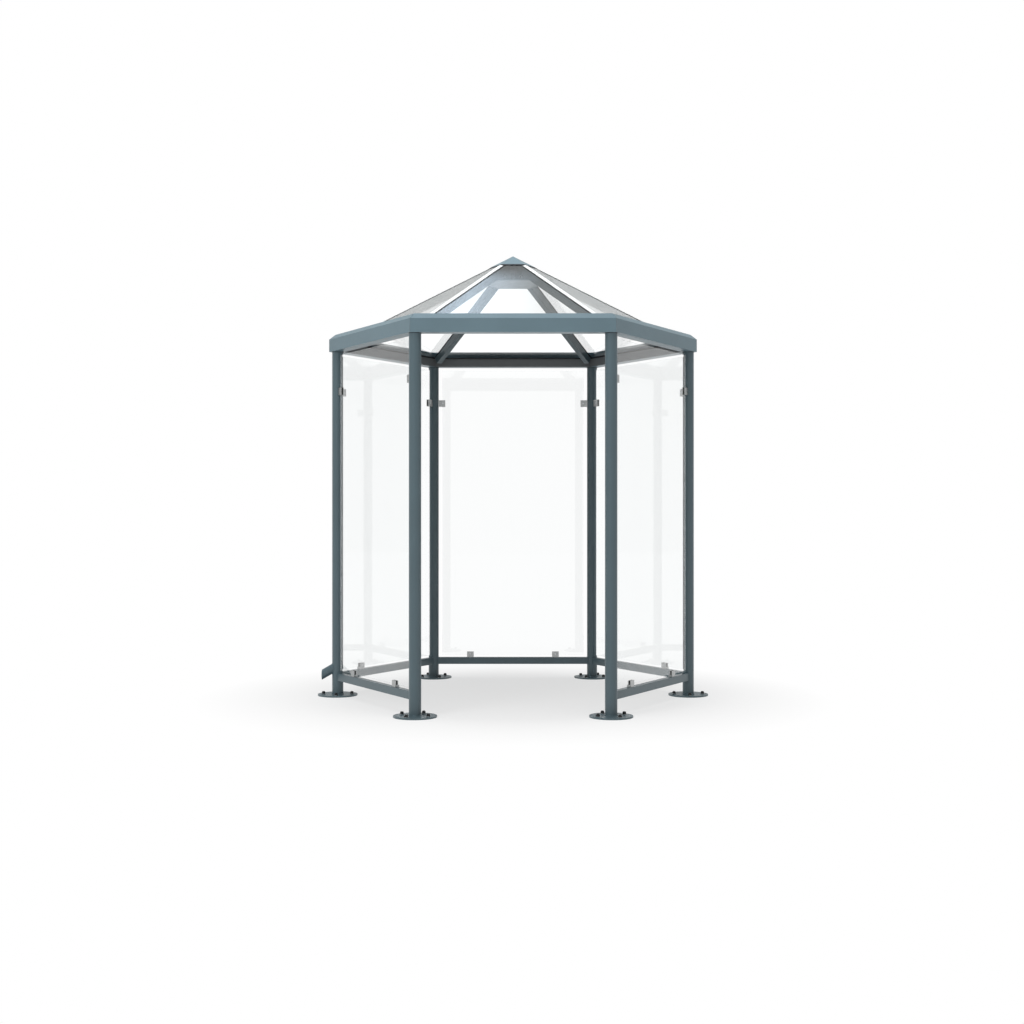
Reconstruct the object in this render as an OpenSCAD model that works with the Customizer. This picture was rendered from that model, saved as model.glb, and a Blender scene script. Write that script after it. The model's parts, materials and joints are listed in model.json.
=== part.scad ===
// Hexagonal smoking shelter: round steel posts, clamped glass walls, a pitched glass roof
// and a folded gutter all round. Units are millimetres, +Z is up and the ground is z = 0.
// The entrance is the open bay that faces -Y.

/* [Plan] */
// Distance from the centre to each post axis, which is also the side of the hexagon
post_circle_r = 1200; // [1000:10:1600]
// Height from the ground to the underside of the gutter
eaves_z = 2350; // [2000:10:2700]

/* [Posts and base plates] */
// Outer diameter of a post
post_d = 76.1; // [60:0.1:90]
// Wall of a post tube
post_wall = 3; // [2:0.5:6]
// Diameter of a base plate
plate_d = 270; // [240:5:340]
// Thickness of a base plate
plate_t = 10; // [6:1:20]
// Circle on which the anchor bolts stand
anchor_pcd = 194; // [170:2:210]
// Hole for each anchor bolt
anchor_hole_d = 14; // [10:1:18]
// Width of the cap over an anchor bolt
anchor_cap_d = 23; // [20:1:30]
// Height of the cap over an anchor bolt
anchor_cap_h = 18; // [14:1:30]

/* [Bottom rails] */
// Height of the underside of the rail above the ground
rail_z = 105; // [60:5:300]
// Height of the rail tube
rail_h = 50; // [30:5:80]
// Depth of the rail tube
rail_depth = 40; // [30:2:50]
// Wall of the rail tube
rail_wall = 3; // [2:0.5:5]

/* [Wall glass and clamps] */
// Thickness of a wall pane
glass_t = 10; // [8:0.5:12]
// Gap between the upright edge of a pane and the post surface
glass_side_gap = 26; // [20:1:40]
// Gap between the top of a pane and the gutter
glass_top_gap = 27; // [10:1:80]
// Gap between the rail and the bottom of a pane
glass_bottom_gap = 19; // [14:1:30]
// Width and height of a clamp seen from the front
clamp_size = 50; // [40:2:60]
// Thickness of a clamp across the glass
clamp_t = 27; // [25:0.5:34]
// Thickness of one clamp jaw
clamp_jaw = 5; // [4:0.5:6]
// Thickness of the rubber under the edge of the glass
lining_bed = 4; // [2:0.5:6]
// How far a clamp reaches over the glass
clamp_grip = 23; // [15:1:31]
// Distance of a rail clamp from the middle of its bay
rail_clamp_offset = 322; // [200:2:420]
// Distance from the underside of the gutter down to the middle of a post clamp
post_clamp_drop = 274; // [100:2:800]

/* [Gutter] */
// Width of the gutter trough over its walls
gutter_w = 90; // [75:1:140]
// Height of the upright outer face
gutter_face_h = 85; // [60:1:120]
// Horizontal run of the sloping lip
lip_run = 40; // [25:1:45]
// Rise of the sloping lip
lip_rise = 34; // [15:1:50]
// Height of the inner wall
gutter_inner_h = 58; // [40:1:60]
// Sheet thickness of the gutter
gutter_sheet = 3; // [2:0.5:4]
// How far the outer face stands out from the post axes at mid-bay
gutter_offset = 50; // [46:1:60]
// Drain hole in the gutter above the left post
drain_d = 50; // [30:2:60]

/* [Roof] */
// Pitch of the roof glass
roof_pitch = 30; // [20:0.5:38]
// Thickness of the rubber seat between the inner gutter wall and the roof glass
eaves_seat_t = 7.5; // [4:0.5:12]
// Thickness of a roof pane
roof_glass_t = 8; // [6:0.5:9]
// Gap between two roof panes at a hip
hip_gap = 10; // [8:1:14]
// How far a roof pane reaches past the inner gutter wall
roof_overhang = 16; // [8:1:25]
// Distance from the centre to the top edge of a roof pane
pane_top_r = 70; // [60:1:100]
// Width of a rafter tube
rafter_w = 40; // [34:1:60]
// Depth of a rafter tube
rafter_h = 50; // [40:1:60]
// Wall of a rafter tube
rafter_wall = 3; // [2:0.5:5]
// Thickness of the gasket at the edge of a rafter
gasket_t = 3.6; // [2:0.1:8]
// Width of the black gasket along each edge of a rafter
gasket_w = 6; // [4:0.5:8]

// Half the width of the black seal that lies over each hip
hip_seal_half = 24; // [20:0.5:30]
// Thickness of the black seal that lies over each hip
hip_seal_t = 1.5; // [1:0.5:4]
// Half the width of the pale cover strip on each hip
hip_cover_half = 19.5; // [12:0.5:19.5]
// Thickness of the cover strip, which is folded along the hip
hip_cover_t = 2; // [1.5:0.5:4]
// How far the cover strip stops short of the low end of the glass
hip_cover_back = 20; // [10:1:40]

/* [Hub and cap] */
// Outer diameter of the centre tube
hub_d = 72; // [60:1:90]
// Wall of the centre tube
hub_wall = 4; // [3:0.5:8]
// Drop from the underside of the rafter ends to the underside of the hub plate
hub_plate_drop = 8; // [4:1:60]
// Thickness of the hub plate
hub_plate_t = 6; // [4:1:8]
// How far the fins reach past the corners of the hub plate
fin_overhang = 11; // [2:1:40]
// Thickness of a hub fin
fin_t = 12; // [8:1:16]
// Distance from the centre to the end of a fin, where the rafter starts
fin_r = 225; // [210:1:260]
// Distance of the fin screws from the centre
screw_r = 123; // [90:1:170]
// Height of the fin screws above the hub plate
screw_rise = 32; // [16:1:40]
// Corner radius of the roof cap
cap_r = 152; // [120:2:220]
// Sheet thickness of the roof cap
cap_t = 1.5; // [1.5:0.5:3]
// Thickness of the black seal under the roof cap
cap_seal_t = 2; // [2:0.5:5]
// Width of the black seal under the roof cap
cap_seal_w = 28; // [20:1:40]
// How far the seal stands out past the edge of the cap
cap_seal_lip = 12; // [0:1:16]

/* [Rain spout] */
// Outer diameter of the spout tube
spout_d = 60.3; // [48:0.1:62]
// Wall of the spout tube
spout_wall = 2.9; // [2:0.1:4]
// Slope of the spout below the horizontal
spout_slope = 30; // [25:1:35]
// Distance from the post axis to the upright cut at the end of the spout
spout_reach = 107.5; // [95:0.5:120]
// Height of the middle of the spout end above the ground
spout_z = 141; // [130:1:160]

/* [Hidden] */
$fn = 64;

// Posts stand every 60 degrees from +X; bays lie between them, and bay 4 is the entrance.
RIGHT = 0;
BACK_RIGHT = 1;
BACK_LEFT = 2;
LEFT = 3;
FRONT_LEFT = 4;
FRONT_RIGHT = 5;
BAY_BACK_RIGHT = 0;
BAY_BACK = 1;
BAY_BACK_LEFT = 2;
BAY_FRONT_LEFT = 3;
BAY_FRONT = 4;
BAY_FRONT_RIGHT = 5;
GLAZED_BAYS = [0, 1, 2, 3, 5];

fit = 0.3;
joint_fit = 0.2;
joint_sink = 1;
post_r = post_d / 2;
half_side = post_circle_r / 2;
post_apothem = post_circle_r * cos(30);
rail_top = rail_z + rail_h;
pane_half_w = half_side - post_r - glass_side_gap;
pane_bottom = rail_top + glass_bottom_gap;
pane_top = eaves_z - glass_top_gap;
jaw_half = clamp_t / 2 - clamp_jaw;

gutter_out = post_apothem + gutter_offset;
gutter_in = gutter_out - gutter_w;
lip_in = gutter_out - lip_run;
face_top = eaves_z + gutter_face_h;
lip_top = face_top + lip_rise;
lip_angle = atan(lip_rise / lip_run);
lip_sheet_z = gutter_sheet / cos(lip_angle);

hip_tan = tan(roof_pitch) * cos(30);
hip_angle = atan(hip_tan);
// Slope of the glass across a hip, in a section square to the hip line
cross_tan = tan(asin(sin(roof_pitch) / 2));
cross_cos = cos(asin(sin(roof_pitch) / 2));
cross_sin = sin(asin(sin(roof_pitch) / 2));
glass_drop = roof_glass_t / cross_cos;
rafter_half = rafter_w / 2;
rafter_drop = glass_drop + cross_tan * rafter_half + gasket_t;
rafter_top_drop_z = rafter_drop / cos(hip_angle);
rafter_low_drop_z = (rafter_drop + rafter_h) / cos(hip_angle);
// Height of the point where the outer faces of the roof glass would meet
seat_z = eaves_z + gutter_inner_h + eaves_seat_t;
apex_z = seat_z + roof_glass_t / cos(roof_pitch) + gutter_in * tan(roof_pitch);
hub_plate_z = apex_z - hip_tan * fin_r - rafter_low_drop_z - hub_plate_drop;
hub_plate_r = fin_r - fin_overhang;
post_clamp_z = eaves_z - post_clamp_drop;
hub_top_r = hub_d / 2 + fit;
fin_base_z = hub_plate_z + hub_plate_t;
hub_top_z = apex_z - hip_tan * (hub_d / 2) - rafter_top_drop_z - 2;
pane_low_a = gutter_in + roof_overhang;
gasket_end_r = gutter_in / cos(30) - rafter_half * tan(30) - 2;
hip_cover_start_r = cap_r + cap_seal_lip / cos(30) + 3;
hip_cover_end_r = pane_low_a / cos(30) - hip_cover_back;
far = 4 * post_circle_r;

module at_post(i) {
  rotate([0, 0, 60 * i])
    translate([post_circle_r, 0, 0])
      children();
}

module at_bay(b, a) {
  rotate([0, 0, 60 * b + 30])
    translate([a, 0, 0])
      children();
}

module tube(d, wall, h) {
  difference() {
    cylinder(d = d, h = h);
    translate([0, 0, -1])
      cylinder(d = d - 2 * wall, h = h + 2);
  }
}

module hex_prism(apothem, z0, z1) {
  translate([0, 0, z0])
    cylinder(r = apothem / cos(30), h = z1 - z0, $fn = 6);
}

// Everything below the six roof planes, each moved along its own normal
module under_roof(offset) {
  intersection_for(b = [0:5]) {
    rotate([0, 0, 60 * b + 30])
      translate([0, 0, apex_z])
        rotate([0, roof_pitch, 0])
          translate([-far, -far, offset - 2 * far])
            cube([2 * far, 2 * far, 2 * far]);
  }
}

module base_plate() {
  difference() {
    cylinder(d = plate_d, h = plate_t);
    for (k = [0:3])
      rotate([0, 0, 90 * k])
        translate([anchor_pcd / 2, 0, -1])
          cylinder(d = anchor_hole_d, h = plate_t + 2);
  }
}

module base_plates() {
  color("slategray")
    for (i = [0:5])
      at_post(i)
        base_plate();
}

module anchor_cap() {
  dome = anchor_cap_h / 3;
  difference() {
    union() {
      cylinder(d = anchor_cap_d, h = anchor_cap_h - dome);
      translate([0, 0, anchor_cap_h - dome])
        cylinder(d1 = anchor_cap_d, d2 = anchor_cap_d - dome, h = dome);
    }
    translate([0, 0, -1])
      cylinder(d = anchor_hole_d + 1, h = anchor_cap_h - 1);
  }
}

module anchor_caps() {
  color("black")
    for (i = [0:5])
      at_post(i)
        for (k = [0:3])
          rotate([0, 0, 90 * k])
            translate([anchor_pcd / 2, 0, plate_t])
              anchor_cap();
}

module post(i) {
  color("slategray")
    at_post(i)
      difference() {
        translate([0, 0, plate_t])
          tube(post_d, post_wall, eaves_z - plate_t);
        if (i == LEFT)
          spout_bore();
      }
}

module bottom_rail(b) {
  at_bay(b, post_apothem)
    difference() {
      translate([-rail_depth / 2, -half_side, rail_z])
        cube([rail_depth, 2 * half_side, rail_h]);
      translate([-rail_depth / 2 + rail_wall, -half_side - 1, rail_z + rail_wall])
        cube([rail_depth - 2 * rail_wall, 2 * half_side + 2, rail_h - 2 * rail_wall]);
      for (s = [-1, 1])
        translate([0, s * half_side, rail_z - 1])
          cylinder(r = post_r + fit, h = rail_h + 2);
    }
}

module bottom_rails() {
  color("slategray")
    for (b = GLAZED_BAYS)
      bottom_rail(b);
}

module wall_glass(b) {
  color("lightcyan", 0.4)
    at_bay(b, post_apothem)
      translate([-glass_t / 2, -pane_half_w, pane_bottom])
        cube([glass_t, 2 * pane_half_w, pane_top - pane_bottom]);
}

// A clamp body stands on its base at z = 0, with the glass edge at z = base
module clamp_body(base) {
  difference() {
    translate([-clamp_t / 2, -clamp_size / 2, 0])
      cube([clamp_t, clamp_size, base + clamp_grip]);
    translate([-jaw_half, -clamp_size, base - lining_bed])
      cube([2 * jaw_half, 2 * clamp_size, clamp_grip + 2 * lining_bed]);
  }
}

module lining_body(base) {
  difference() {
    translate([-jaw_half, -clamp_size / 2, base - lining_bed])
      cube([2 * jaw_half, clamp_size, lining_bed + clamp_grip]);
    translate([-glass_t / 2, -clamp_size, base])
      cube([glass_t, 2 * clamp_size, clamp_grip + 1]);
  }
}

module at_rail_clamps(b) {
  at_bay(b, post_apothem)
    for (s = [-1, 1])
      translate([0, s * rail_clamp_offset, rail_top])
        children();
}

module at_post_clamps(b) {
  at_bay(b, post_apothem)
    for (s = [-1, 1])
      translate([0, s * half_side, post_clamp_z])
        rotate([90 * s, 0, 0])
          children();
}

module rail_clamps() {
  color("silver")
    for (b = GLAZED_BAYS)
      at_rail_clamps(b)
        clamp_body(glass_bottom_gap);
}

module post_clamps() {
  color("silver")
    for (b = GLAZED_BAYS)
      at_post_clamps(b)
        difference() {
          clamp_body(post_r + glass_side_gap);
          rotate([90, 0, 0])
            cylinder(r = post_r + fit, h = 2 * clamp_size, center = true);
        }
}

module clamp_linings() {
  color("black")
    for (b = GLAZED_BAYS) {
      at_rail_clamps(b)
        lining_body(glass_bottom_gap);
      at_post_clamps(b)
        lining_body(post_r + glass_side_gap);
    }
}

module gutter_profile() {
  t = gutter_sheet;
  polygon([
    [gutter_in, eaves_z],
    [gutter_out, eaves_z],
    [gutter_out, face_top],
    [lip_in, lip_top],
    [lip_in, lip_top - lip_sheet_z],
    [gutter_out - t, face_top + t * lip_rise / lip_run - lip_sheet_z],
    [gutter_out - t, eaves_z + t],
    [gutter_in + t, eaves_z + t],
    [gutter_in + t, eaves_z + gutter_inner_h],
    [gutter_in, eaves_z + gutter_inner_h]
  ]);
}

// The wedge of plan that belongs to one bay
module bay_wedge(b) {
  rotate([0, 0, 60 * b + 30])
    linear_extrude(2 * apex_z)
      polygon([[0, 0], [far, far * tan(30)], [far, -far * tan(30)]]);
}

module gutter(b) {
  color("slategray")
    difference() {
      intersection() {
        rotate([0, 0, 60 * b + 30])
          translate([0, far / 2, 0])
            rotate([90, 0, 0])
              linear_extrude(far)
                gutter_profile();
        bay_wedge(b);
      }
      at_post(LEFT)
        translate([0, 0, eaves_z - 1])
          cylinder(d = drain_d, h = gutter_sheet + 2);
    }
}

// Lays a section drawn across a hip along rafter i, from radius r0 to r1
module along_hip(i, r0, r1) {
  rotate([0, 0, 60 * i])
    translate([0, 0, apex_z])
      rotate([0, 90 + hip_angle, 0])
        rotate([0, 0, 90])
          translate([0, 0, r0 / cos(hip_angle)])
            linear_extrude((r1 - r0) / cos(hip_angle))
              children();
}

module radial_limits(i, r0) {
  intersection() {
    children();
    hex_prism(gutter_in, 0, 2 * apex_z);
    rotate([0, 0, 60 * i])
      translate([r0, -far, 0])
        cube([far, 2 * far, 2 * apex_z]);
  }
}

module rafter(i) {
  w = rafter_half;
  color("slategray")
    radial_limits(i, fin_r)
      along_hip(i, fin_r - rafter_h, gutter_out + rafter_h)
        difference() {
          translate([-w, -rafter_drop - rafter_h])
            square([2 * w, rafter_h]);
          translate([-w + rafter_wall, -rafter_drop - rafter_h + rafter_wall])
            square([2 * w - 2 * rafter_wall, rafter_h - 2 * rafter_wall]);
        }
}

module gasket_section() {
  x0 = rafter_half - gasket_w;
  x1 = rafter_half;
  polygon([
    [x0, -rafter_drop],
    [x1, -rafter_drop],
    [x1, -glass_drop - cross_tan * x1],
    [x0, -glass_drop - cross_tan * x0]
  ]);
}

module joint_half() {
  x_flange = rafter_half - gasket_w - joint_fit;
  x_low = hip_gap / 2 - roof_glass_t * cross_sin - joint_fit;
  x_high = hip_gap / 2 - joint_sink * cross_sin - joint_fit;
  y_high = -cross_tan * hip_gap / 2 - joint_sink * cross_cos;
  polygon([
    [0, joint_fit - rafter_drop],
    [x_flange, joint_fit - rafter_drop],
    [x_flange, -glass_drop - cross_tan * x_flange - joint_fit],
    [x_low, -glass_drop - cross_tan * x_low - joint_fit],
    [x_high, y_high],
    [0, y_high]
  ]);
}

// The seal over the glass, with a tongue that reaches down into the joint
module seal_half() {
  x_low = hip_gap / 2 - roof_glass_t * cross_sin - joint_fit;
  x_high = hip_gap / 2 - joint_fit;
  polygon([
    [0, -roof_glass_t / 2],
    [x_low, -roof_glass_t / 2],
    [x_high, -cross_tan * x_high],
    [hip_seal_half, -cross_tan * hip_seal_half],
    [hip_seal_half, hip_seal_t - cross_tan * hip_seal_half],
    [0, hip_seal_t]
  ]);
}

module cover_half() {
  x1 = hip_cover_half;
  side = hip_seal_t - cross_tan * x1;
  polygon([
    [0, hip_seal_t],
    [x1, side],
    [x1, side + hip_cover_t],
    [0, hip_seal_t + hip_cover_t]
  ]);
}

// Per hip: two strips under the edges of the glass, and one between and over the panes
module rafter_gaskets() {
  color("black")
    for (i = [0:5]) {
      along_hip(i, pane_top_r / cos(30), gasket_end_r) {
        gasket_section();
        mirror([1, 0])
          gasket_section();
      }
      union() {
        along_hip(i, pane_top_r / cos(30), gasket_end_r) {
          joint_half();
          mirror([1, 0])
            joint_half();
        }
        along_hip(i, hip_cover_start_r, hip_cover_end_r) {
          seal_half();
          mirror([1, 0])
            seal_half();
        }
      }
    }
}

module hip_covers() {
  color("white")
    for (i = [0:5])
      along_hip(i, hip_cover_start_r, hip_cover_end_r)
        union() {
          cover_half();
          mirror([1, 0])
            cover_half();
        }
}

module roof_glass(b) {
  s0 = pane_top_r / cos(roof_pitch);
  s1 = pane_low_a / cos(roof_pitch);
  edge = hip_gap / 2 / cos(30);
  w0 = pane_top_r * tan(30) - edge;
  w1 = pane_low_a * tan(30) - edge;
  color("lightcyan", 0.4)
    rotate([0, 0, 60 * b + 30])
      translate([0, 0, apex_z])
        rotate([0, roof_pitch, 0])
          translate([0, 0, -roof_glass_t])
            linear_extrude(roof_glass_t)
              polygon([[s0, -w0], [s1, -w1], [s1, w1], [s0, w0]]);
}

module eaves_gaskets() {
  run = gutter_in * tan(30) - rafter_half / cos(30) - 2;
  color("black")
    for (b = [0:5])
      intersection() {
        at_bay(b, gutter_in - 4)
          translate([0, -run, eaves_z + gutter_inner_h])
            cube([12, 2 * run, rafter_h]);
        under_roof(-roof_glass_t);
      }
}

module hub_tube() {
  color("slategray")
    translate([0, 0, fin_base_z])
      tube(hub_d, hub_wall, hub_top_z - fin_base_z);
}

module hub_fins() {
  color("slategray")
    for (i = [0:5])
      difference() {
        rotate([0, 0, 60 * i])
          translate([0, fin_t / 2, 0])
            rotate([90, 0, 0])
              linear_extrude(fin_t)
                polygon([
                  [hub_top_r, fin_base_z],
                  [fin_r, fin_base_z],
                  [fin_r, apex_z - hip_tan * fin_r - rafter_top_drop_z],
                  [hub_top_r, apex_z - hip_tan * hub_top_r - rafter_top_drop_z]
                ]);
        rotate([0, 0, 60 * i])
          translate([screw_r, 0, fin_base_z + screw_rise])
            rotate([90, 0, 0])
              cylinder(d = 9, h = 2 * fin_t, center = true);
      }
}

module hub_screws() {
  color("silver")
    for (i = [0:5])
      rotate([0, 0, 60 * i])
        translate([screw_r, 0, fin_base_z + screw_rise])
          rotate([90, 0, 0])
            union() {
              cylinder(d = 8.4, h = fin_t + 2, center = true);
              for (s = [0, 1])
                mirror([0, 0, s])
                  translate([0, 0, fin_t / 2]) {
                    cylinder(d = 16, h = 1.5);
                    cylinder(d = 13, h = 6.5);
                  }
            }
}

module hub_plate() {
  color("slategray")
    translate([0, 0, hub_plate_z])
      cylinder(r = hub_plate_r, h = hub_plate_t, $fn = 6);
}

module roof_cap() {
  cap_a = cap_r * cos(30);
  color("lightslategray")
    difference() {
      intersection() {
        under_roof(cap_seal_t + cap_t);
        hex_prism(cap_a, hub_plate_z, 2 * apex_z);
      }
      under_roof(cap_seal_t);
    }
}

module cap_seal() {
  cap_a = cap_r * cos(30) + cap_seal_lip;
  color("black")
    difference() {
      intersection() {
        under_roof(cap_seal_t);
        hex_prism(cap_a, hub_plate_z, 2 * apex_z);
      }
      under_roof(0);
      hex_prism(cap_a - cap_seal_w, hub_plate_z, 2 * apex_z);
    }
}

module spout_axis() {
  translate([spout_reach, 0, spout_z])
    rotate([0, spout_slope - 90, 0])
      children();
}

module spout_bore() {
  spout_axis()
    translate([0, 0, -post_d])
      cylinder(d = spout_d - 2 * spout_wall, h = 2 * post_d + spout_reach / 2);
}

module rain_spout() {
  color("slategray")
    at_post(LEFT)
      difference() {
        spout_axis()
          translate([0, 0, -post_d])
            cylinder(d = spout_d, h = 2 * post_d + spout_reach);
        spout_axis()
          translate([0, 0, -2 * post_d])
            cylinder(d = spout_d - 2 * spout_wall, h = 4 * post_d + spout_reach);
        cylinder(r = post_r + fit, h = 2 * eaves_z, center = true);
        translate([-far, -far, -far])
          cube([far, 2 * far, 2 * far]);
        translate([spout_reach, -far, -far])
          cube([far, 2 * far, 2 * far]);
      }
}

base_plates();
anchor_caps();
post(RIGHT);  // post_right
post(BACK_RIGHT);  // post_back_right
post(BACK_LEFT);  // post_back_left
post(LEFT);  // post_left
post(FRONT_LEFT);  // post_front_left
post(FRONT_RIGHT);  // post_front_right
bottom_rails();
wall_glass(BAY_BACK_RIGHT);  // wall_glass_back_right
wall_glass(BAY_BACK);  // wall_glass_back
wall_glass(BAY_BACK_LEFT);  // wall_glass_back_left
wall_glass(BAY_FRONT_LEFT);  // wall_glass_front_left
wall_glass(BAY_FRONT_RIGHT);  // wall_glass_front_right
rail_clamps();
post_clamps();
clamp_linings();
gutter(BAY_BACK_RIGHT);  // gutter_back_right
gutter(BAY_BACK);  // gutter_back
gutter(BAY_BACK_LEFT);  // gutter_back_left
gutter(BAY_FRONT_LEFT);  // gutter_front_left
gutter(BAY_FRONT);  // gutter_front
gutter(BAY_FRONT_RIGHT);  // gutter_front_right
rafter(RIGHT);  // rafter_right
rafter(BACK_RIGHT);  // rafter_back_right
rafter(BACK_LEFT);  // rafter_back_left
rafter(LEFT);  // rafter_left
rafter(FRONT_LEFT);  // rafter_front_left
rafter(FRONT_RIGHT);  // rafter_front_right
roof_glass(BAY_BACK_RIGHT);  // roof_glass_back_right
roof_glass(BAY_BACK);  // roof_glass_back
roof_glass(BAY_BACK_LEFT);  // roof_glass_back_left
roof_glass(BAY_FRONT_LEFT);  // roof_glass_front_left
roof_glass(BAY_FRONT);  // roof_glass_front
roof_glass(BAY_FRONT_RIGHT);  // roof_glass_front_right
rafter_gaskets();
hip_covers();
eaves_gaskets();
hub_tube();
hub_fins();
hub_plate();
hub_screws();
roof_cap();
cap_seal();
rain_spout();
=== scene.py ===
import json
import math

import bmesh
import bpy
from mathutils import Matrix, Vector


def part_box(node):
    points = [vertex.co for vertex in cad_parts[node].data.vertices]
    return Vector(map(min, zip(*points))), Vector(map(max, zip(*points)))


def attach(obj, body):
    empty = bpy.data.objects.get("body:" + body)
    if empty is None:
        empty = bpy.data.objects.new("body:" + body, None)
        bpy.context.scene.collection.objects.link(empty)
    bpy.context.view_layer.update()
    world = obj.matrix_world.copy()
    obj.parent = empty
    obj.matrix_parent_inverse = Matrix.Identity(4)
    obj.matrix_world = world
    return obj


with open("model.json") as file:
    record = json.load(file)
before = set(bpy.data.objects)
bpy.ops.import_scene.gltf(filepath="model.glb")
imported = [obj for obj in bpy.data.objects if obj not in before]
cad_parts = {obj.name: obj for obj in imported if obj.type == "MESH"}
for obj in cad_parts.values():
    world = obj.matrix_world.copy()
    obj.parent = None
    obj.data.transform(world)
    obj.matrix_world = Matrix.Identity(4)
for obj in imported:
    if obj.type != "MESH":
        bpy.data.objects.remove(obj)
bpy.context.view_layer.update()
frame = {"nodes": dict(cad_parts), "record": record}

POSTS = ["right", "back_right", "back_left", "left", "front_left", "front_right"]
BAYS = ["back_right", "back", "back_left", "front_left", "front", "front_right"]
GLAZED = [number for number, bay in enumerate(BAYS) if bay != "front"]


# ---------------------------------------------------------------- node helpers
def srgb(r, g, b):
    def lin(c):
        c /= 255.0
        return c / 12.92 if c <= 0.04045 else ((c + 0.055) / 1.055) ** 2.4

    return (lin(r), lin(g), lin(b), 1.0)


def new_material(name):
    mat = bpy.data.materials.new(name)
    mat.use_nodes = True
    nt = mat.node_tree
    nt.nodes.clear()
    return mat, nt


def node(nt, kind, **values):
    n = nt.nodes.new(kind)
    for key, value in values.items():
        setattr(n, key, value)
    return n


def feed(nt, sock, value):
    if isinstance(value, bpy.types.NodeSocket):
        nt.links.new(value, sock)
    else:
        sock.default_value = value


def math_node(nt, op, a, b=0.0, clamp=False):
    n = node(nt, "ShaderNodeMath", operation=op, use_clamp=clamp)
    feed(nt, n.inputs[0], a)
    feed(nt, n.inputs[1], b)
    return n.outputs[0]


def position(nt):
    return node(nt, "ShaderNodeTexCoord").outputs["Object"]


def noise(nt, vector, scale, detail=3.0, rough=0.55):
    n = node(nt, "ShaderNodeTexNoise")
    nt.links.new(vector, n.inputs["Vector"])
    n.inputs["Scale"].default_value = scale
    n.inputs["Detail"].default_value = detail
    n.inputs["Roughness"].default_value = rough
    return n.outputs["Fac"]


def stretched(nt, vector, scale):
    n = node(nt, "ShaderNodeMapping")
    nt.links.new(vector, n.inputs["Vector"])
    n.inputs["Scale"].default_value = scale
    return n.outputs["Vector"]


def ramp(nt, fac, lo, hi, out_lo, out_hi):
    n = node(nt, "ShaderNodeMapRange")
    feed(nt, n.inputs["Value"], fac)
    n.inputs["From Min"].default_value = lo
    n.inputs["From Max"].default_value = hi
    n.inputs["To Min"].default_value = out_lo
    n.inputs["To Max"].default_value = out_hi
    return n.outputs["Result"]


def mix_colour(nt, fac, a, b, blend="MIX"):
    n = node(nt, "ShaderNodeMix", data_type="RGBA", blend_type=blend)
    feed(nt, n.inputs["Factor"], fac)
    feed(nt, n.inputs["A"], a)
    feed(nt, n.inputs["B"], b)
    return n.outputs["Result"]


def bump(nt, height, strength, distance):
    n = node(nt, "ShaderNodeBump")
    nt.links.new(height, n.inputs["Height"])
    n.inputs["Strength"].default_value = strength
    n.inputs["Distance"].default_value = distance
    return n.outputs["Normal"]


def principled(nt, **values):
    bsdf = node(nt, "ShaderNodeBsdfPrincipled")
    out = node(nt, "ShaderNodeOutputMaterial")
    nt.links.new(bsdf.outputs[0], out.inputs["Surface"])
    for key, value in values.items():
        feed(nt, bsdf.inputs[key.replace("_", " ")], value)
    return bsdf, out


def separate(nt, vector):
    n = node(nt, "ShaderNodeSeparateXYZ")
    nt.links.new(vector, n.inputs[0])
    return n.outputs


def background(nt, colour, strength=1.0):
    n = node(nt, "ShaderNodeBackground")
    feed(nt, n.inputs["Color"], colour)
    n.inputs["Strength"].default_value = strength
    return n.outputs[0]


def mix_shader(nt, fac, a, b):
    n = node(nt, "ShaderNodeMixShader")
    for socket, value in zip(n.inputs, (fac, a, b)):
        nt.links.new(value, socket)
    return n.outputs[0]


# ---------------------------------------------------------------- materials
def face_normal(nt):
    return node(nt, "ShaderNodeNewGeometry").outputs["True Normal"]


def plane_distance(nt, pos, normal):
    """How far the plane of an upright face lies from the centre line, and how level the face is."""
    p, n = separate(nt, pos), separate(nt, normal)
    across = math_node(nt, "MULTIPLY", p["X"], n["X"])
    along = math_node(nt, "ADD", across, math_node(nt, "MULTIPLY", p["Y"], n["Y"]))
    return math_node(nt, "ABSOLUTE", along), math_node(nt, "ABSOLUTE", n["Z"])


GUTTER_INNER_FACE = 1.03  # metres: upright faces nearer the centre line are the gutter's inner walls
DUST_HEIGHT = 0.16
DUST_COLOUR = (140, 144, 144)


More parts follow.
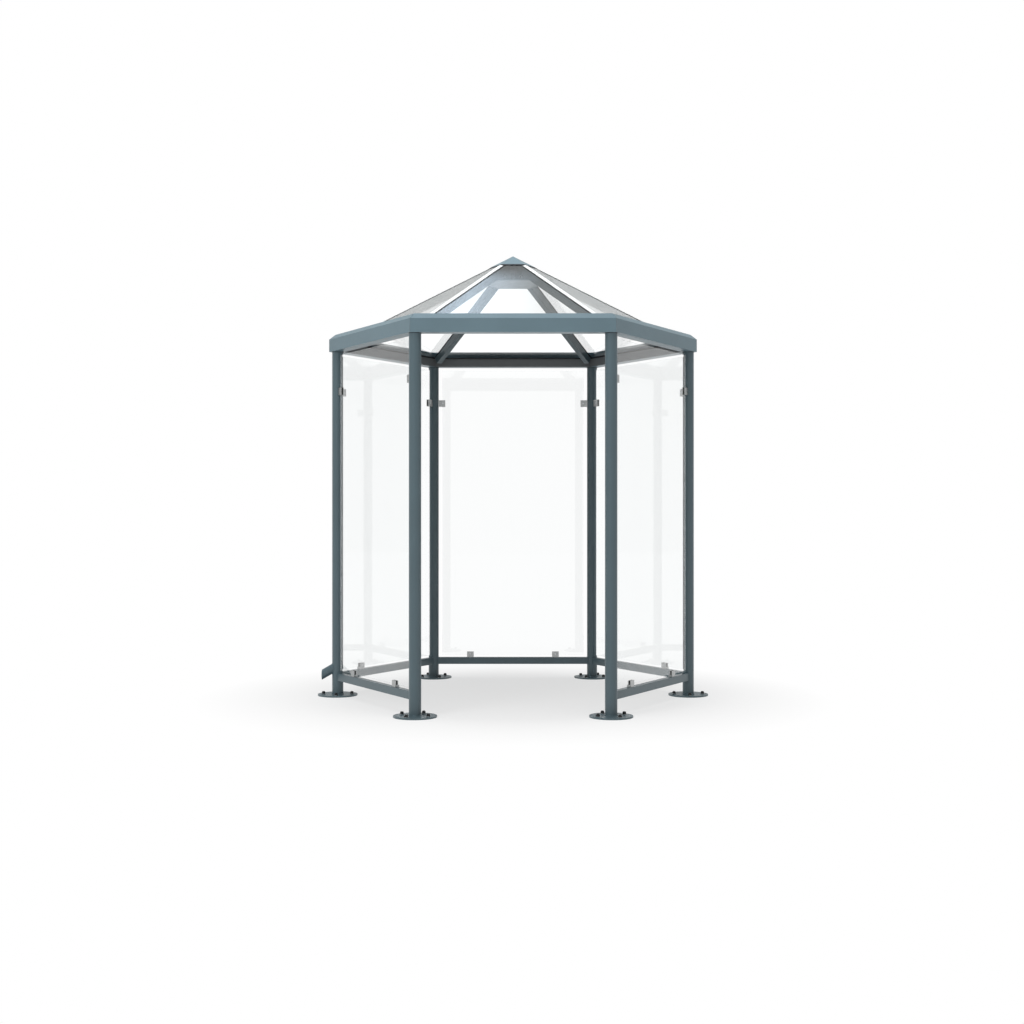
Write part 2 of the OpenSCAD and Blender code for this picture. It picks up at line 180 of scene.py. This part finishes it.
def powder_coat(name, colour, dust=0.04, shaded_inside=None, gloss=0.5):
    """Satin powder coat: fine orange peel, faint mottling, a little dust low down, and optionally
    painted shade on the gutter's inner walls.
    """
    mat, nt = new_material(name)
    pos = position(nt)
    broad = noise(nt, pos, 3.0, 3.0)
    fine = noise(nt, pos, 60.0, 4.0)
    base = mix_colour(
        nt, ramp(nt, broad, 0.3, 0.7, 0.0, 1.0),
        srgb(*[c * 0.975 for c in colour]), srgb(*[min(255, c * 1.025) for c in colour]),
    )
    if shaded_inside is not None:
        away, level = plane_distance(nt, pos, face_normal(nt))
        near = math_node(nt, "LESS_THAN", away, GUTTER_INNER_FACE)
        inner_wall_shade = math_node(nt, "MULTIPLY", near, math_node(nt, "LESS_THAN", level, 0.3))
        # painted shade: upright faces near the centre line (the gutter's inner walls) take the given
        # greyer, darker colour
        base = mix_colour(nt, inner_wall_shade, base, srgb(*shaded_inside))
    low = ramp(nt, separate(nt, pos)["Z"], 0.0, DUST_HEIGHT, dust, 0.0)
    grime = math_node(nt, "MULTIPLY", low, ramp(nt, fine, 0.35, 0.7, 0.2, 1.0), clamp=True)
    base = mix_colour(nt, grime, base, srgb(*DUST_COLOUR))
    peel = noise(nt, pos, 900.0, 2.0)
    dull = math_node(nt, "MULTIPLY", grime, 0.3)
    rough = math_node(nt, "ADD", ramp(nt, fine, 0.3, 0.7, 0.32, 0.40), dull)
    principled(
        nt,
        Base_Color=base,
        Roughness=rough,
        Metallic=0.0,
        IOR=1.5,
        Specular_IOR_Level=gloss,
        Normal=bump(nt, peel, 0.25, 0.00006),
    )
    return mat


WALL_FACE = 0.8  # metres: a wall pane's own faces lie further than this from the centre line
PANE_LEVEL = 0.7  # a roof pane's own faces are at least this level; its edges are steeper
LIGHT_THROUGH = (0.50, 0.505, 0.505, 1.0)  # what a pane lets through for shadows and bounced light


def clear_glass(name, edge_tint_and_shade, upright):
    """Toughened float glass: clean faces with a trace of dried rain, ground and tinted edges; the wall
    panes' edge tint is also darkened as painted shade.
    """
    mat, nt = new_material(name)
    pos = position(nt)
    away, level = plane_distance(nt, pos, face_normal(nt))
    if upright:
        edge = math_node(nt, "LESS_THAN", away, WALL_FACE)
        run_scale, run_depth = (26.0, 26.0, 2.2), 0.5
    else:
        edge = math_node(nt, "LESS_THAN", level, PANE_LEVEL)
        run_scale, run_depth = (18.0, 18.0, 18.0), 0.2
    runs = noise(nt, stretched(nt, pos, run_scale), 1.0, 5.0)
    spots = ramp(nt, noise(nt, pos, 60.0, 3.0), 0.4, 0.7, 0.3, 1.0)
    marks = math_node(nt, "MULTIPLY", ramp(nt, runs, 0.60, 0.90, 0.0, run_depth), spots, clamp=True)
    ground = math_node(nt, "MULTIPLY", edge, 0.28)
    rough = math_node(nt, "ADD", ramp(nt, marks, 0.0, 1.0, 0.0, 0.05), ground)
    base = mix_colour(nt, marks, srgb(252, 253, 253), srgb(240, 243, 243))
    # edge faces take the given tint; on the wall panes it is darkened further as painted shade
    base = mix_colour(nt, edge, base, edge_tint_and_shade)
    waves = noise(nt, pos, 1.3, 1.0)
    bsdf, out = principled(
        nt,
        Base_Color=base,
        Roughness=rough,
        IOR=1.5,
        Transmission_Weight=1.0,
        Normal=bump(nt, waves, 0.04, 0.0004),
    )
    through = node(nt, "ShaderNodeBsdfTransparent")
    through.inputs["Color"].default_value = LIGHT_THROUGH
    path = node(nt, "ShaderNodeLightPath").outputs
    lighting = math_node(nt, "MAXIMUM", path["Is Shadow Ray"], path["Is Diffuse Ray"])
    nt.links.new(mix_shader(nt, lighting, bsdf.outputs[0], through.outputs[0]), out.inputs["Surface"])
    return mat


def satin_steel(name, colour, direction):
    """Satin stainless: fine grinding lines, faint finger marks."""
    mat, nt = new_material(name)
    pos = position(nt)
    lines = noise(nt, stretched(nt, pos, direction), 1.0, 4.0)
    smear = noise(nt, pos, 22.0, 4.0)
    dark = srgb(*[c * 0.92 for c in colour])
    base = mix_colour(nt, ramp(nt, lines, 0.3, 0.7, 0.0, 1.0), dark, srgb(*colour))
    marks = ramp(nt, smear, 0.5, 0.75, 0.0, 0.12)
    rough = math_node(nt, "ADD", ramp(nt, lines, 0.3, 0.7, 0.24, 0.36), marks)
    principled(
        nt,
        Base_Color=base,
        Roughness=rough,
        Metallic=1.0,
        Normal=bump(nt, lines, 0.3, 0.00004),
    )
    return mat


def rubber(name, colour, rough=0.62, grain=700.0):
    """Extruded rubber: dull, with faint dust and a fine skin."""
    mat, nt = new_material(name)
    pos = position(nt)
    dust = noise(nt, pos, 30.0, 5.0)
    pores = noise(nt, pos, grain, 2.0)
    dusty = srgb(*[c + 22 for c in colour])
    base = mix_colour(nt, ramp(nt, dust, 0.45, 0.8, 0.0, 0.35), srgb(*colour), dusty)
    principled(
        nt,
        Base_Color=base,
        Roughness=ramp(nt, dust, 0.3, 0.7, rough - 0.06, rough + 0.08),
        Normal=bump(nt, pores, 0.35, 0.00008),
    )
    return mat


FRAME_PAINT = (80, 98, 105)
# lighter than the frame paint: partly the gutter's own paint tone, partly painted light for the brighter
# light the gutter fronts catch
GUTTER_PAINT_LIT = (104, 125, 134)
# painted shade: a greyer, darker copy of the gutter paint for the gutter's inner walls, which sit in
# shade under the roof
GUTTER_INSIDE_SHADE = (112, 115, 117)
COVER_PAINT = (232, 235, 235)
LOOKS = {
    "frame_paint": powder_coat("frame_paint_look", FRAME_PAINT),
    "gutter_paint": powder_coat("gutter_paint_lit_and_shaded_look", GUTTER_PAINT_LIT, 0.0, GUTTER_INSIDE_SHADE, gloss=0.3),
    # wall pane edges: the glass's own green edge tint, darkened further as painted shade for the dark
    # line where a pane's lower edge meets the rail
    "wall_glass": clear_glass("wall_glass_look", srgb(52, 72, 68), upright=True),
    "roof_glass": clear_glass("roof_glass_look", srgb(186, 204, 198), upright=False),
    "clamp_steel": satin_steel("clamp_steel_look", (178, 180, 180), (30.0, 30.0, 900.0)),
    "screw_steel": satin_steel("screw_steel_look", (210, 212, 214), (400.0, 400.0, 400.0)),
    "clamp_rubber": rubber("clamp_rubber_look", (24, 24, 25)),
    "gasket_rubber": rubber("gasket_rubber_look", (16, 16, 17)),
    "cover_paint": powder_coat("cover_paint_look", COVER_PAINT, dust=0.0),
    "cap_plastic": rubber("cap_plastic_look", (20, 20, 21), rough=0.42, grain=500.0),
}

slot_of = {s["node"]: s["material_slot"] for s in frame["record"]["subparts"]}
for name, obj in frame["nodes"].items():
    look = LOOKS[slot_of[name]]
    if not obj.material_slots:
        obj.data.materials.append(look)
    for ms in obj.material_slots:
        ms.material = look


# ---------------------------------------------------------------- soft edges on the sheet and tube work
def soften(names, width, segments=2, angle=40.0):
    for n in names:
        obj = frame["nodes"][n]
        mod = obj.modifiers.new("soft_edges", "BEVEL")
        mod.width = width
        mod.segments = segments
        mod.limit_method = "ANGLE"
        mod.angle_limit = math.radians(angle)
        mod.harden_normals = False
        mod.miter_outer = "MITER_ARC"


soften(["gutter_" + b for b in BAYS], 0.0012)
soften(["rafter_" + p for p in POSTS], 0.0015)
soften(["bottom_rails", "rail_clamps", "post_clamps", "hub_plate", "hub_fins"], 0.0012)
soften(["base_plates"], 0.0012)


# ---------------------------------------------------------------- sizes taken from the frame
def box_of(name):
    lo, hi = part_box(name)
    return Vector(lo), Vector(hi)


def size_of(name):
    lo, hi = box_of(name)
    return hi - lo


def turned(angle):
    return Matrix.Rotation(math.radians(angle), 4, "Z")


POST_R = size_of("post_right").x / 2
CIRCLE_R = (box_of("post_right")[0].x + box_of("post_right")[1].x) / 2
APOTHEM = CIRCLE_R * math.cos(math.radians(30))
PLATE_TOP = box_of("post_right")[0].z
EAVES = box_of("post_right")[1].z
RAIL_LOW, RAIL_HIGH = box_of("bottom_rails")[0].z, box_of("bottom_rails")[1].z
CLAMP_T = size_of("wall_glass_back").y + 0.017  # the pane, its two linings and the two jaws
HUB_BASE = box_of("hub_tube")[0].z
HUB_R = size_of("hub_tube").x / 2
GUTTER_LOW = box_of("gutter_back")[0].z
GUTTER_TOP = box_of("gutter_back")[1].z
GUTTER_OUT = box_of("gutter_back")[1].y


RAIL_HALF = 0.020
FIN_HALF = 0.006
ANCHOR_CIRCLE_R = 0.097
RAIL_CLAMP_SIDE = 0.322  # from the middle of a bay to each rail clamp's screw
LIP_RUN, LIP_RISE = 0.040, 0.034
MITRE = 1 / math.cos(math.radians(30))
WELD_RIPPLE = 0.08


# ---------------------------------------------------------------- detail pieces
def crisp(obj, angle=35.0):
    mod = obj.modifiers.new("edge_split", "EDGE_SPLIT")
    mod.split_angle = math.radians(angle)


def piece(name, bm, slot, smooth=True):
    mesh = bpy.data.meshes.new(name)
    bmesh.ops.recalc_face_normals(bm, faces=bm.faces)
    bm.to_mesh(mesh)
    bm.free()
    for poly in mesh.polygons:
        poly.use_smooth = smooth
    mesh.materials.append(LOOKS[slot])
    obj = bpy.data.objects.new(name, mesh)
    bpy.context.scene.collection.objects.link(obj)
    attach(obj, "root")
    return obj


def ring_path(r, z, steps):
    turns = [2 * math.pi * k / steps for k in range(steps)]
    return [(r * math.cos(t), r * math.sin(t), z) for t in turns]


def ring_of(bm, place, points):
    return [bm.verts.new(place @ Vector(p)) for p in points]


def skin(bm, rings):
    """Quads from each ring of vertices to the next."""
    for a, b in zip(rings, rings[1:]):
        for k in range(len(a)):
            after = (k + 1) % len(a)
            bm.faces.new((a[k], a[after], b[after], b[k]))


def sweep(bm, path, radius, closed, place, sides=8, ripple=0.0, pitch=0.003):
    """A round bead laid along a path; ripple gives it the scales of a weld."""
    pts = [place @ Vector(p) for p in path]
    count = len(pts)
    rings = []
    run = 0.0
    for k, p in enumerate(pts):
        if k:
            run += (p - pts[k - 1]).length
        a = pts[(k - 1) % count] if closed or k else pts[k]
        b = pts[(k + 1) % count] if closed or k < count - 1 else pts[k]
        t = (b - a).normalized()
        up = Vector((0, 0, 1)) if abs(t.z) < 0.9 else Vector((1, 0, 0))
        u = t.cross(up).normalized()
        v = u.cross(t)
        r = radius * (1.0 + ripple * math.sin(2 * math.pi * run / pitch))
        rings.append([bm.verts.new(p + u * x + v * y) for x, y, _ in ring_path(r, 0.0, sides)])
    skin(bm, rings + rings[:1] if closed else rings)
    if not closed:
        bm.faces.new(rings[0])
        bm.faces.new(list(reversed(rings[-1])))


def line_path(a, b, step=0.001):
    a, b = Vector(a), Vector(b)
    n = max(2, int((b - a).length / step))
    return [tuple(a.lerp(b, k / n)) for k in range(n + 1)]


def at_post(i):
    return turned(60 * i) @ Matrix.Translation((CIRCLE_R, 0, 0))


def at_bay(b, a=0.0):
    return turned(60 * b + 30) @ Matrix.Translation((a, 0, 0))


def lathe(bm, profile, steps, place):
    """Turns an (r, z) outline about the local Z axis; the outline is closed."""
    rings = [ring_of(bm, place, ring_path(r, z, steps)) for r, z in profile]
    skin(bm, rings + rings[:1])


def hex_socket(bm, outer, key, depth, place, steps=24):
    """A round screw head with a real hexagonal socket in its end; it stands on local z = 0."""
    chamfer = outer * 0.16
    head = ((outer, 0.0), (outer, depth - chamfer), (outer - chamfer, depth))
    rings = [ring_of(bm, place, ring_path(r, z, steps)) for r, z in head]
    for z in (depth, depth * 0.15):
        hexagon = []
        for k in range(steps):
            t = 2 * math.pi * k / steps
            r = key / math.cos((t % (math.pi / 3)) - math.pi / 6)
            hexagon.append((r * math.cos(t), r * math.sin(t), z))
        rings.append(ring_of(bm, place, hexagon))
    skin(bm, rings)
    bm.faces.new(rings[-1])
    bm.faces.new(list(reversed(rings[0])))


def round_path(half_x, half_y, corner, step=0.0012):
    """A rounded rectangle as (x, y) points."""
    pts = []
    for side_x, side_y, start in ((1, 1, 0), (-1, 1, 90), (-1, -1, 180), (1, -1, 270)):
        sx, sy = side_x * (half_x - corner), side_y * (half_y - corner)
        for k in range(7):
            t = math.radians(start + 15 * k)
            pts.append(Vector((sx + corner * math.cos(t), sy + corner * math.sin(t), 0)))
    out = []
    for k, p in enumerate(pts):
        q = pts[(k + 1) % len(pts)]
        n = max(1, int((q - p).length / step))
        out += [p.lerp(q, m / n) for m in range(n)]
    return [(p.x, p.y) for p in out]


# weld round the foot of every post
bm = bmesh.new()
foot = ring_path(POST_R + 0.0006, PLATE_TOP + 0.0004, 220)
for i in range(6):
    sweep(bm, foot, 0.0038, True, at_post(i), 8, 0.07, 0.0034)
piece("post_foot_welds", bm, "frame_paint")

# weld where each rail end meets its post
bm = bmesh.new()
rail_mid, rail_rise = (RAIL_LOW + RAIL_HIGH) / 2, (RAIL_HIGH - RAIL_LOW) / 2
for b in GLAZED:
    for s in (-1, 1):
        path = []
        for u, z in round_path(RAIL_HALF, rail_rise, 0.002):
            reach = math.sqrt(POST_R ** 2 - u * u) + 0.0008
            path.append((u, s * (CIRCLE_R / 2 - reach), rail_mid + z))
        sweep(bm, path, 0.0026, True, at_bay(b, APOTHEM), 6, WELD_RIPPLE, 0.003)
piece("rail_end_welds", bm, "frame_paint")

# weld round the spout where it enters the left post
bm = bmesh.new()
spout_lo, spout_hi = box_of("rain_spout")
spout_r = (spout_hi.y - spout_lo.y) / 2
slope = math.radians(30)
mouth = Vector((-(spout_lo.x + CIRCLE_R), 0, spout_lo.z + spout_r / math.cos(slope)))
axis = Vector((-math.cos(slope), 0, math.sin(slope)))
side, up = Vector((0, 1, 0)), Vector((math.sin(slope), 0, math.cos(slope)))
path = []
for across, rise, _ in ring_path(spout_r + 0.0004, 0.0, 200):
    start = mouth + side * across + up * rise
    x = math.sqrt(max(0.0, (POST_R + 0.0004) ** 2 - start.y ** 2))
    path.append(tuple(start + axis * ((start.x - x) / math.cos(slope))))
sweep(bm, path, 0.0030, True, at_post(3), 8, 0.07, 0.0032)
piece("spout_weld", bm, "frame_paint")

# welds of the hub: along the foot of every fin, and up the tube on both sides of it
bm = bmesh.new()
fin_end = box_of("hub_fins")[1].x - 0.014
tube_top = box_of("hub_tube")[1].z - 0.004
for i in range(6):
    for s in (-1, 1):
        y = s * (FIN_HALF + 0.0004)
        along = line_path((HUB_R + 0.006, y, HUB_BASE + 0.0004), (fin_end, y, HUB_BASE + 0.0004), 0.0011)
        upright = line_path((HUB_R + 0.0006, y, HUB_BASE + 0.004), (HUB_R + 0.0006, y, tube_top), 0.0011)
        sweep(bm, along, 0.0030, False, turned(60 * i), 6, WELD_RIPPLE, 0.0033)
        sweep(bm, upright, 0.0024, False, turned(60 * i), 6, WELD_RIPPLE, 0.0033)
piece("hub_welds", bm, "frame_paint")

# washers under the anchor caps
bm = bmesh.new()
caps_lo, caps_hi = box_of("anchor_caps")
cap_r = (caps_hi.x - caps_lo.x) / 2 - CIRCLE_R - ANCHOR_CIRCLE_R
washer = [
    (cap_r + 0.0002, 0.0), (0.0152, 0.0), (0.0155, 0.0004),
    (0.0155, 0.0021), (0.0151, 0.0025), (cap_r + 0.0002, 0.0025),
]
for i in range(6):
    for k in range(4):
        place = at_post(i) @ turned(90 * k) @ Matrix.Translation((ANCHOR_CIRCLE_R, 0, PLATE_TOP))
        lathe(bm, washer, 40, place)
crisp(piece("anchor_washers", bm, "clamp_steel"))

# hexagon-socket screws on the inner jaw of every glass clamp
bm = bmesh.new()
jaw = CLAMP_T / 2
rail_clamp_z = (box_of("rail_clamps")[1].z + RAIL_HIGH) / 2 + 0.004
post_clamp_z = (box_of("post_clamps")[0].z + box_of("post_clamps")[1].z) / 2
post_clamp_side = CIRCLE_R / 2 - POST_R - 0.026 - 0.004
inward = Matrix.Rotation(math.radians(-90), 4, "Y")
for b in GLAZED:
    for s in (-1, 1):
        for y, z in ((s * RAIL_CLAMP_SIDE, rail_clamp_z), (s * post_clamp_side, post_clamp_z)):
            place = at_bay(b, APOTHEM) @ Matrix.Translation((-jaw, y, z)) @ inward
            hex_socket(bm, 0.0062, 0.0031, 0.0032, place)
crisp(piece("clamp_screws", bm, "screw_steel"))

# sockets in the ends of the hub screws
bm = bmesh.new()
screw_lo, screw_hi = box_of("hub_screws")
screw_r = screw_hi.x - 0.008
screw_z = (screw_lo.z + screw_hi.z) / 2
for i in range(6):
    for s in (-1, 1):
        place = turned(60 * i) @ Matrix.Translation((screw_r, s * (FIN_HALF + 0.0065), screw_z))
        hex_socket(bm, 0.0058, 0.0032, 0.0022, place @ Matrix.Rotation(math.radians(-90 * s), 4, "X"))
crisp(piece("hub_screw_sockets", bm, "screw_steel"))

# sealed mitre seams of the gutter, outside and up the lip
bm = bmesh.new()
face_top = GUTTER_TOP - LIP_RISE
foot = (GUTTER_OUT * MITRE, 0, GUTTER_LOW + 0.001)
shoulder = (GUTTER_OUT * MITRE, 0, face_top)
lip = ((GUTTER_OUT - LIP_RUN) * MITRE, 0, GUTTER_TOP)
for i in range(6):
    for a, b in ((foot, shoulder), (shoulder, lip)):
        sweep(bm, line_path(a, b, 0.004), 0.0011, False, turned(60 * i), 6)
piece("gutter_seams", bm, "gutter_paint")

# a black ring where each post meets the gutter: painted shade for the shadow under the gutter's
# overhang, not a seal
bm = bmesh.new()
for i in range(6):
    sweep(bm, ring_path(POST_R + 0.0006, EAVES - 0.0008, 120), 0.0022, True, at_post(i))
piece("post_top_shade_rings", bm, "gasket_rubber")


# ---------------------------------------------------------------- camera, lamps and floor
scene = bpy.context.scene
scene.view_settings.view_transform = "Standard"

CAMERA_PLACE = (-0.0068, -9.74, 1.2546)
LENS, SENSOR = 50.0, 36.0

cam_data = bpy.data.cameras.new("camera")
cam_data.lens = LENS
cam_data.sensor_width = SENSOR
cam_data.dof.use_dof = False
camera = bpy.data.objects.new("camera", cam_data)
camera.location = CAMERA_PLACE
camera.rotation_euler = (math.radians(90.0), 0.0, 0.0)
scene.collection.objects.link(camera)
scene.camera = camera


def area_light(name, place, aim, size, power):
    data = bpy.data.lights.new(name, "AREA")
    data.shape = "RECTANGLE"
    data.size, data.size_y = size
    data.energy = power
    obj = bpy.data.objects.new(name, data)
    obj.location = place
    obj.rotation_euler = (Vector(aim) - Vector(place)).to_track_quat("-Z", "Y").to_euler()
    obj.visible_camera = False
    obj.visible_glossy = False
    obj.visible_transmission = False
    scene.collection.objects.link(obj)


area_light("top_soft", (0.0, -0.6, 6.5), (0.0, 0.0, 0.0), (7.0, 7.0), 360.0)
area_light("front_left_soft", (-5.0, -7.0, 3.4), (0.0, 0.0, 1.4), (3.0, 3.5), 210.0)

WHITE = (1.0, 1.0, 1.0, 1.0)
STUDIO_WALL = (0.88, 0.88, 0.88, 1.0)
STUDIO_CEILING = (0.60, 0.62, 0.62, 1.0)
COOL_SOFTBOX = (1.7, 2.0, 2.3, 1.0)
FILL_LIGHT = 0.24


def make_world():
    """White in view and a soft fill on the object; glass and paint mirror a plain studio."""
    world = bpy.data.worlds.new("world")
    scene.world = world
    world.use_nodes = True
    wt = world.node_tree
    wt.nodes.clear()
    heading = separate(wt, node(wt, "ShaderNodeTexCoord").outputs["Generated"])
    path = node(wt, "ShaderNodeLightPath").outputs

    # what polished faces mirror: white walls, a grey ceiling, and a cool softbox high on the left
    studio = mix_colour(wt, ramp(wt, heading["Z"], 0.05, 0.28, 0.0, 1.0), STUDIO_WALL, STUDIO_CEILING)
    above = ramp(wt, heading["Z"], 0.7695, 0.7735, 0.0, 1.0)
    left = ramp(wt, heading["X"], -0.03, 0.02, 1.0, 0.0)
    studio = mix_colour(wt, math_node(wt, "MULTIPLY", above, left), studio, COOL_SOFTBOX)

    # through the glass the backdrop is white, a little brighter above head height
    grey = ramp(wt, heading["Z"], 0.09, 0.14, 1.0, 1.14)
    backdrop = node(wt, "ShaderNodeCombineColor")
    for channel in ("Red", "Green", "Blue"):
        wt.links.new(grey, backdrop.inputs[channel])
    high = ramp(wt, heading["Z"], 0.35, 0.50, 0.0, 1.0)
    beyond = mix_colour(wt, high, backdrop.outputs[0], studio)

    # light refracted by glass counts as glossy too, so the transmission mix comes last
    sky = mix_shader(wt, path["Is Camera Ray"], background(wt, WHITE, FILL_LIGHT), background(wt, WHITE))
    sky = mix_shader(wt, path["Is Glossy Ray"], sky, background(wt, studio))
    sky = mix_shader(wt, path["Is Transmission Ray"], sky, background(wt, beyond))
    wt.links.new(sky, node(wt, "ShaderNodeOutputWorld").inputs["Surface"])


make_world()


# the floor is plain near the object, to carry its shadow, and fades to white further out
FLOOR_HALF = 30.0
FADE_START, FADE_END = 1.15, 2.15
NEAR_WHITE = 0.63
BOUNCED_LIGHT = 0.80  # the share of its white that the floor gives back as bounced light


def make_floor():
    bm = bmesh.new()
    corners = ((-1, -1), (1, -1), (1, 1), (-1, 1))
    bm.faces.new([bm.verts.new((x * FLOOR_HALF, y * FLOOR_HALF, 0.0)) for x, y in corners])
    mesh = bpy.data.meshes.new("floor")
    bm.to_mesh(mesh)
    bm.free()
    obj = bpy.data.objects.new("floor", mesh)
    scene.collection.objects.link(obj)
    mat, nt = new_material("floor_white")
    dist = node(nt, "ShaderNodeVectorMath", operation="LENGTH")
    nt.links.new(position(nt), dist.inputs[0])
    away = ramp(nt, dist.outputs["Value"], FADE_START, FADE_END, NEAR_WHITE, 1.0)
    plain = node(nt, "ShaderNodeBsdfDiffuse")
    plain.inputs["Color"].default_value = (0.90, 0.90, 0.90, 1.0)
    glow = node(nt, "ShaderNodeEmission")
    glow.inputs["Color"].default_value = WHITE
    bounced = node(nt, "ShaderNodeLightPath").outputs["Is Diffuse Ray"]
    nt.links.new(ramp(nt, bounced, 0.0, 1.0, 1.0, BOUNCED_LIGHT), glow.inputs["Strength"])
    fade = mix_shader(nt, away, plain.outputs[0], glow.outputs[0])
    nt.links.new(fade, node(nt, "ShaderNodeOutputMaterial").inputs["Surface"])
    mesh.materials.append(mat)


make_floor()
